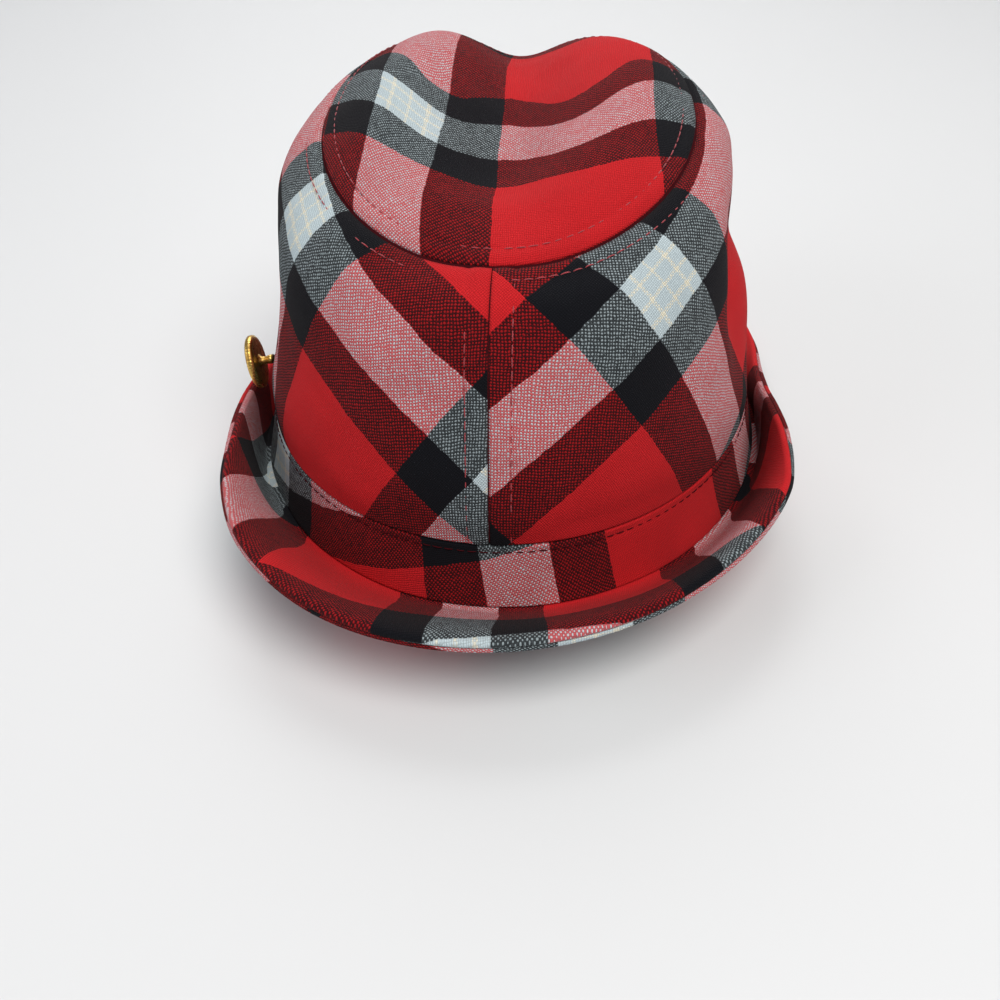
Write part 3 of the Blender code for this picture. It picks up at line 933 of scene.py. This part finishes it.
def stitch_line(name, places, normals, slot, material=None):
    """A row of short raised stitches along a line of places."""
    lengths = arc_lengths(places, 0)
    count = int(lengths[-1] / STITCH_PITCH)
    rng = np.random.default_rng(len(name))
    sides, rings = 8, 7
    corners, faces = [], []
    ring_share = np.linspace(0.0, 1.0, rings)
    for index in range(count):
        begin = (index + 0.5 * (1 - STITCH_LENGTH / STITCH_PITCH)) * STITCH_PITCH
        size = STITCH_LENGTH * rng.uniform(0.88, 1.06)
        at = np.clip(begin + size * ring_share, 0.0, lengths[-1])
        line = np.stack([np.interp(at, lengths, places[:, k]) for k in range(3)], axis=-1)
        normal = unit(np.stack([np.interp(at, lengths, normals[:, k]) for k in range(3)], axis=-1))
        ahead = unit(np.gradient(line, axis=0))
        side = unit(np.cross(ahead, normal))
        slant = rng.uniform(-STITCH_SLANT, STITCH_SLANT)
        arch = np.sin(np.pi * ring_share)
        raised = (-STITCH_SINK + STITCH_ARCH * arch**0.6)[:, None]
        slid = (slant * (ring_share - 0.5))[:, None]
        line = line + normal * raised + side * slid
        radius = STITCH_THREAD / 2 * (0.55 + 0.45 * arch**0.5)
        base = index * (sides * rings + 2)
        for step in range(rings):
            for k in range(sides):
                turn = 2 * np.pi * k / sides
                spoke = np.cos(turn) * side[step] + np.sin(turn) * normal[step]
                corners.append(line[step] + radius[step] * spoke)
        corners.append(line[0] - ahead[0] * STITCH_TIP)
        corners.append(line[-1] + ahead[-1] * STITCH_TIP)
        first, last = base + sides * rings, base + sides * rings + 1
        for k in range(sides):
            after = (k + 1) % sides
            faces.append((first, base + after, base + k))
            for step in range(rings - 1):
                a, b = base + step * sides + k, base + step * sides + after
                faces.append((a, b, b + sides, a + sides))
            top = base + (rings - 1) * sides
            faces.append((top + k, top + after, last))
    thing = make_object(name, np.array(corners), faces, material=material or STITCH)


def seam_strip(name, places, normals, slot, closed):
    """The turned-in cloth that closes a seam from below, as a thin ribbon along it. Its almost black
    colour is painted shade in the seam's gap.
    """
    ahead = unit(np.gradient(places, axis=0))
    if closed:
        places, normals, ahead = places[:-1], normals[:-1], ahead[:-1]
    side = unit(np.cross(ahead, normals))
    count = len(places)
    half, low, high = 0.0008, -0.0011, -0.0004
    section = ((-half, low), (half, low), (half, high), (-half, high))
    corners = np.concatenate([places + side * across + normals * up for across, up in section])
    faces = []
    for k in range(4):
        after = (k + 1) % 4
        for step in range(count if closed else count - 1):
            ahead_step = (step + 1) % count
            low, high = k * count, after * count
            faces.append((low + step, high + step, high + ahead_step, low + ahead_step))
    if not closed:
        faces.append(tuple(k * count for k in (3, 2, 1, 0)))
        faces.append(tuple(k * count + count - 1 for k in range(4)))
    thing = make_object(name, corners, faces, material=SEAM)


# Almost black cloth, as painted shade in the seam gaps; the band's stitches use it too.
def seam_material():
    material = bpy.data.materials.new("seam_shadow")
    material.use_nodes = True
    shader = material.node_tree.nodes["Principled BSDF"]
    shader.inputs["Base Color"].default_value = rgba(SEAM_SHADE_RED)
    shader.inputs["Roughness"].default_value = 0.95
    shader.inputs["Specular IOR Level"].default_value = 0.05
    return material


def tip_edge_line():
    turns = np.linspace(0.0, 360.0, LINE_POINTS)
    edge = np.full_like(turns, 1.0)
    return tip_point(turns, edge), unit(tip_normal(turns, edge) + wall_normal(turns, edge))


def upright_line(middle):
    rises = np.linspace(0.012, 0.985, 160)
    turns = np.full_like(rises, middle)
    return wall_point(turns, rises), wall_normal(turns, rises)


def tip_line():
    """Places on the tip at the topstitch's distance from the seam."""
    turns = np.linspace(0.0, 360.0, LINE_POINTS)
    shares = np.linspace(1.0, 0.80, 41)
    turn, share = np.meshgrid(turns, shares)
    grid = tip_point(turn, share)
    lengths = arc_lengths(grid, 0)
    at = np.array([np.interp(TIP_STITCH_INSET, lengths[:, k], shares) for k in range(len(turns))])
    return tip_point(turns, at), tip_normal(turns, at)


def wall_line_level(distance):
    """Places on the side wall at a distance below the tip seam."""
    turns = np.linspace(0.0, 360.0, LINE_POINTS)
    rises = np.linspace(1.0, 0.75, 61)
    turn, rise = np.meshgrid(turns, rises)
    lengths = arc_lengths(wall_point(turn, rise), 0)
    at = np.array([np.interp(distance, lengths[:, k], rises) for k in range(len(turns))])
    return wall_point(turns, at), wall_normal(turns, at)


def wall_line_upright(middle, distance):
    """Places on the side wall at a distance beside the seam at one turn."""
    rises = np.linspace(0.01, 0.985, 160)
    step = np.sign(distance) * np.linspace(0.0, 12.0, 121)
    turn, rise = np.meshgrid(middle + step, rises)
    lengths = arc_lengths(wall_point(turn, rise), 1)
    at = np.array([np.interp(abs(distance), lengths[k], middle + step) for k in range(len(rises))])
    return wall_point(at, rises), wall_normal(at, rises)


def band_line():
    turns = np.linspace(0.0, 360.0, LINE_POINTS)
    share = np.full_like(turns, 1.0 - BAND_STITCH_INSET / BAND_HEIGHT)
    normals = normals_of(band_point, turns, share, (0.6, 0.02), (0.0, 1.0))
    return band_point(turns, share), normals


# The button


def add_button(material):
    """A disc button with a raised beaded rim and plain rings, on a round shank."""
    radius, thick = BUTTON_DIAMETER / 2, BUTTON_THICKNESS
    outline = (
        (0.0, 0.05),
        (0.80, 0.00),
        (0.93, 0.02),
        (0.985, 0.18),
        (1.00, 0.45),
        (0.99, 0.78),
        (0.95, 0.96),
        (0.90, 1.00),
        (0.85, 0.94),
        (0.82, 0.74),
        (0.78, 0.68),
        (0.74, 0.76),
        (0.70, 0.80),
        (0.66, 0.74),
        (0.62, 0.66),
        (0.45, 0.80),
        (0.25, 0.88),
        (0.0, 0.92),
    )
    count, sides = BUTTON_SIDES, SHANK_SIDES
    angle = np.linspace(0.0, 2 * np.pi, count, endpoint=False)
    corners, faces = [], []
    for out, up in outline[1:-1]:
        bead = 0.012 * np.cos(BUTTON_BEADS * angle) if out > 0.97 else 0.0 * angle
        petal = 0.035 * np.cos(BUTTON_PETALS * angle) if 0.2 < out < 0.5 else 0.0 * angle
        r = radius * (out + bead)
        corners.append(np.stack([thick * (up + petal), r * np.sin(angle), r * np.cos(angle)], axis=-1))
    corners = np.concatenate(corners)
    rings = len(outline) - 2
    for ring in range(rings - 1):
        for step in range(count):
            a, b = ring * count + step, ring * count + (step + 1) % count
            faces.append((b, a, a + count, b + count))
    ends = np.array([[outline[0][1] * thick, 0.0, 0.0], [outline[-1][1] * thick, 0.0, 0.0]])
    corners = np.concatenate([corners, ends])
    for step in range(count):
        after = (step + 1) % count
        faces.append((step, after, rings * count))
        faces.append(((rings - 1) * count + after, (rings - 1) * count + step, rings * count + 1))
    shank = (
        (0.0016, -SHANK_LENGTH),
        (0.0016, -0.0035),
        (0.0013, -0.0022),
        (0.0015, -0.0008),
        (0.0026, 0.0002),
    )
    base = len(corners)
    turns = np.linspace(0.0, 2 * np.pi, sides, endpoint=False)
    blocks = []
    for out, up in shank:
        level = np.full_like(turns, up)
        blocks.append(np.stack([level, out * np.sin(turns), out * np.cos(turns)], axis=-1))
    corners = np.concatenate([corners] + blocks + [np.array([[-SHANK_LENGTH, 0.0, 0.0]])])
    for ring in range(len(shank) - 1):
        for step in range(sides):
            a = base + ring * sides + step
            b = base + ring * sides + (step + 1) % sides
            faces.append((b, a, a + sides, b + sides))
    for step in range(sides):
        faces.append((base + step, base + (step + 1) % sides, len(corners) - 1))
    level = np.array(BUTTON_RISE / TIP_RISE_SIDE)
    turn = np.array(BUTTON_TURN)
    direction = outward(turn)
    place = wall_point(turn, level) + direction * (SHANK_LENGTH + GAP)
    heading, lean = np.arctan2(direction[1], direction[0]), np.radians(BUTTON_LEAN)
    spin = Matrix.Rotation(heading, 3, "Z") @ Matrix.Rotation(lean, 3, "Y")
    corners = corners @ np.array(spin).T + place
    thing = make_object("gold_button", corners, faces, material=material)
    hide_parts("button")


STITCH = thread_material()
SEAM = seam_material()
add_panel("side_panel_left", 0.0, 11)
add_panel("side_panel_right", 180.0, 21)
add_tip()
add_band()
add_brim("brim_top", GAP / 2 + BRIM_CLOTH, GAP / 2, True, 51)
add_brim("brim_under", -GAP / 2, -GAP / 2 - BRIM_CLOTH, False, 51)
seam_strip("tip_seam", *tip_edge_line(), "crown_tip", True)
seam_strip("back_seam", *upright_line(0.0), "side_panel_left", False)
seam_strip("front_seam", *upright_line(180.0), "side_panel_left", False)
stitch_line("tip_stitches", *tip_line(), "crown_tip")
stitch_line("wall_stitches", *wall_line_level(TIP_STITCH_INSET), "side_panel_left")
stitch_line("back_stitches_left", *wall_line_upright(0.0, BACK_STITCH_INSET), "side_panel_left")
stitch_line("back_stitches_right", *wall_line_upright(0.0, -BACK_STITCH_INSET), "side_panel_right")
stitch_line("front_stitches_left", *wall_line_upright(180.0, -BACK_STITCH_INSET), "side_panel_left")
stitch_line("front_stitches_right", *wall_line_upright(180.0, BACK_STITCH_INSET), "side_panel_right")
stitch_line("band_stitches", *band_line(), "hatband", SEAM)
add_button(gold_material())


# Floor, light and camera

# Turns in degrees, metres from the middle of the crown's foot, and millimetres of lens
CAMERA_TURNS = (40.0, 5.07, 1.61)
CAMERA_PLACE = (-0.0198, 0.2852, 0.1731)
CAMERA_LENS = 32.4


def add_floor():
    """A pale floor that curves up into a backdrop."""
    profile = [(-3.0, 0.0), (0.9, 0.0)]
    profile += [(0.9 + 0.6 * np.sin(a), 0.6 - 0.6 * np.cos(a)) for a in np.linspace(0.1, np.pi / 2, 14)]
    profile += [(1.5, 4.0)]
    corners, faces = [], []
    for back, up in profile:
        corners += [(-4.0, -back, up), (4.0, -back, up)]
    for step in range(len(profile) - 1):
        a = 2 * step
        faces.append((a, a + 1, a + 3, a + 2))
    mesh = bpy.data.meshes.new("floor")
    mesh.from_pydata(corners, [], faces)
    mesh.shade_smooth()
    material = bpy.data.materials.new("floor_pale")
    material.use_nodes = True
    shader = material.node_tree.nodes["Principled BSDF"]
    shader.inputs["Base Color"].default_value = (0.66, 0.665, 0.67, 1.0)
    shader.inputs["Roughness"].default_value = 0.55
    mesh.materials.append(material)
    floor = bpy.data.objects.new("floor", mesh)
    bpy.context.scene.collection.objects.link(floor)


def placed(x, y, z, place):
    """The matrix that sets an object at a place, with its axes along x, y and z."""
    rows = [(x[k], y[k], z[k], place[k]) for k in range(3)]
    return Matrix(rows + [(0.0, 0.0, 0.0, 1.0)])


def add_light(name, place, target, size, power, color):
    light = bpy.data.lights.new(name, "AREA")
    light.shape = "DISK"
    light.size = size
    light.energy = power
    light.color = color
    thing = bpy.data.objects.new(name, light)
    z = unit(np.array(place) - np.array(target))
    x = unit(np.cross([0.0, 0.0, 1.0], z))
    y = np.cross(z, x)
    thing.matrix_world = placed(x, y, z, place)
    bpy.context.scene.collection.objects.link(thing)


def add_camera():
    """A view from behind and above the hat, close by."""
    pitch, yaw, roll = np.radians(CAMERA_TURNS)
    place = np.array(CAMERA_PLACE)
    ahead = np.array([0.0, -np.cos(pitch), -np.sin(pitch)])
    right = np.array([-1.0, 0.0, 0.0])
    down = np.cross(ahead, right)
    across = np.cos(roll) * right + np.sin(roll) * down
    below = -np.sin(roll) * right + np.cos(roll) * down
    spin = np.array([[np.cos(yaw), -np.sin(yaw), 0], [np.sin(yaw), np.cos(yaw), 0], [0, 0, 1]])
    x, y, z = spin @ across, -(spin @ below), -(spin @ ahead)
    place = place + ORIGIN
    camera = bpy.data.cameras.new("camera")
    camera.sensor_width = 36.0
    camera.lens = CAMERA_LENS
    camera.clip_start = 0.01
    thing = bpy.data.objects.new("camera", camera)
    thing.matrix_world = placed(x, y, z, place)
    bpy.context.scene.collection.objects.link(thing)
    bpy.context.scene.camera = thing


add_floor()
add_light("key", (-0.5, 0.6, 1.5), (0.0, 0.0, 0.08), 1.3, 25.0, (1.0, 0.98, 0.95))
add_light("fill", (1.2, 0.5, 0.7), (0.0, 0.0, 0.08), 1.0, 5.0, (0.94, 0.97, 1.0))
add_light("front", (0.2, -1.2, 1.2), (0.0, 0.0, 0.08), 1.2, 12.0, (1.0, 1.0, 1.0))
world = bpy.data.worlds.new("studio")
world.use_nodes = True
world.node_tree.nodes["Background"].inputs[0].default_value = (0.93, 0.95, 1.0, 1.0)
world.node_tree.nodes["Background"].inputs[1].default_value = 0.31
bpy.context.scene.world = world
bpy.context.scene.view_settings.view_transform = "Standard"
add_camera()

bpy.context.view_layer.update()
